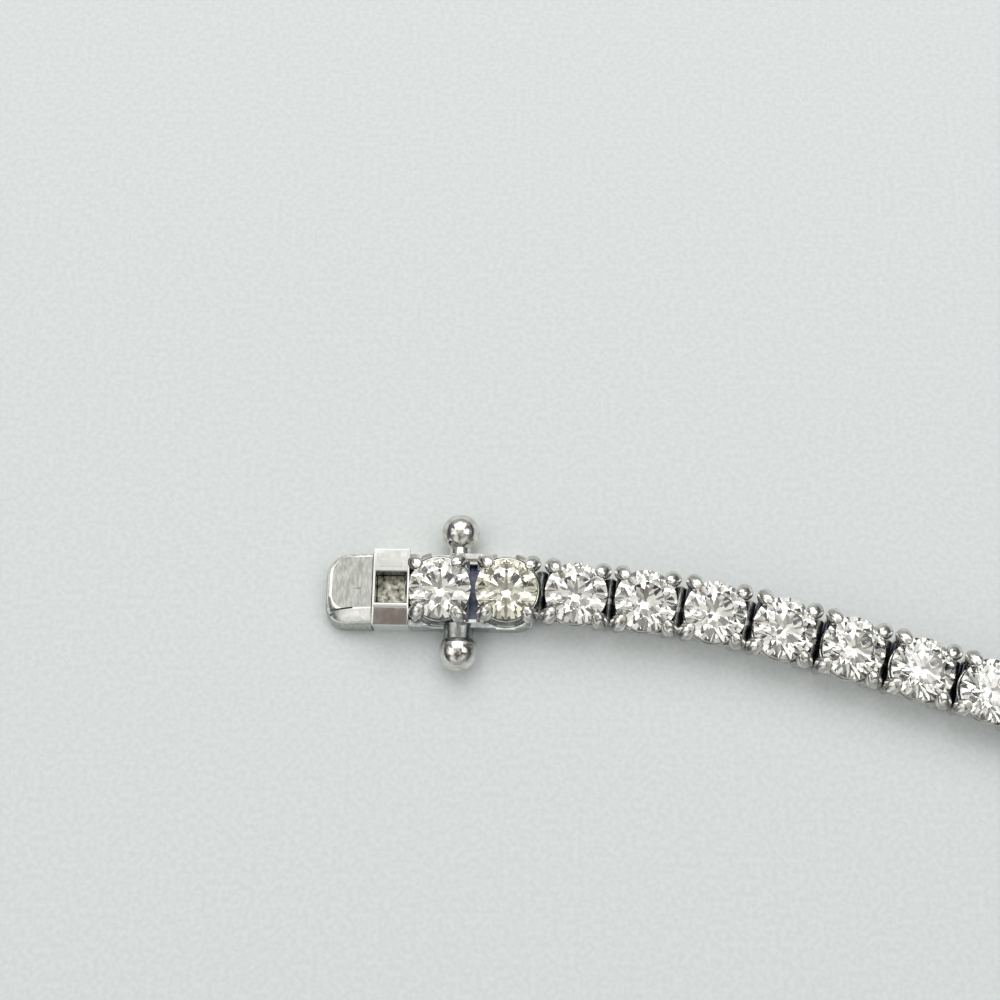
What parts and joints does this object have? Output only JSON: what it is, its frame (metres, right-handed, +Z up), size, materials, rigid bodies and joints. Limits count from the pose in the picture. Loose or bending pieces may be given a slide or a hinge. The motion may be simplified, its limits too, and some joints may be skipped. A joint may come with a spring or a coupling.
{
  "type": "tennis bracelet",
  "caption": "Tennis bracelet of round brilliants in hinged four-prong baskets, with a box clasp's spring tongue, a stiff station and two ball studs.",
  "frame": {"origin": "below the middle of the bracelet's bounding box, on the surface that it lies on", "axes": "+Z up, square to the surface it lies on; +X roughly along the chain from the tongue, and +Y from the loop's middle towards the clasp station"},
  "size_m": [0.0662, 0.0722, 0.0027],
  "materials": {
    "white_gold": "polished white gold",
    "satin_white_gold": "brushed white gold with a few scratches",
    "white_stone": "cut and polished, clear and colourless",
    "champagne_stone": "cut and polished, clear and faintly yellow"
  },
  "bodies": {
    "root": {"tongue": "satin_white_gold", "clasp_station": "white_gold", "station_stone_1": "white_stone", "station_stone_2": "champagne_stone", "link_01": "white_gold", "link_02": "white_gold", "link_03": "white_gold", "link_04": "white_gold", "link_05": "white_gold", "link_06": "white_gold", "link_07": "white_gold", "link_08": "white_gold", "link_09": "white_gold", "link_10": "white_gold", "link_11": "white_gold", "link_12": "white_gold", "link_13": "white_gold", "link_14": "white_gold", "link_15": "white_gold", "link_16": "white_gold", "link_17": "white_gold", "link_18": "white_gold", "link_19": "white_gold", "link_20": "white_gold", "link_21": "white_gold", "link_22": "white_gold", "link_23": "white_gold", "link_24": "white_gold", "link_25": "white_gold", "link_26": "white_gold", "link_27": "white_gold", "link_28": "white_gold", "link_29": "white_gold", "link_30": "white_gold", "link_31": "white_gold", "link_32": "white_gold", "link_33": "white_gold", "link_34": "white_gold", "link_35": "white_gold", "link_36": "white_gold", "link_37": "white_gold", "link_38": "white_gold", "link_39": "white_gold", "link_40": "white_gold", "link_41": "white_gold", "box_catch": "white_gold"}
  },
  "joints": []
}
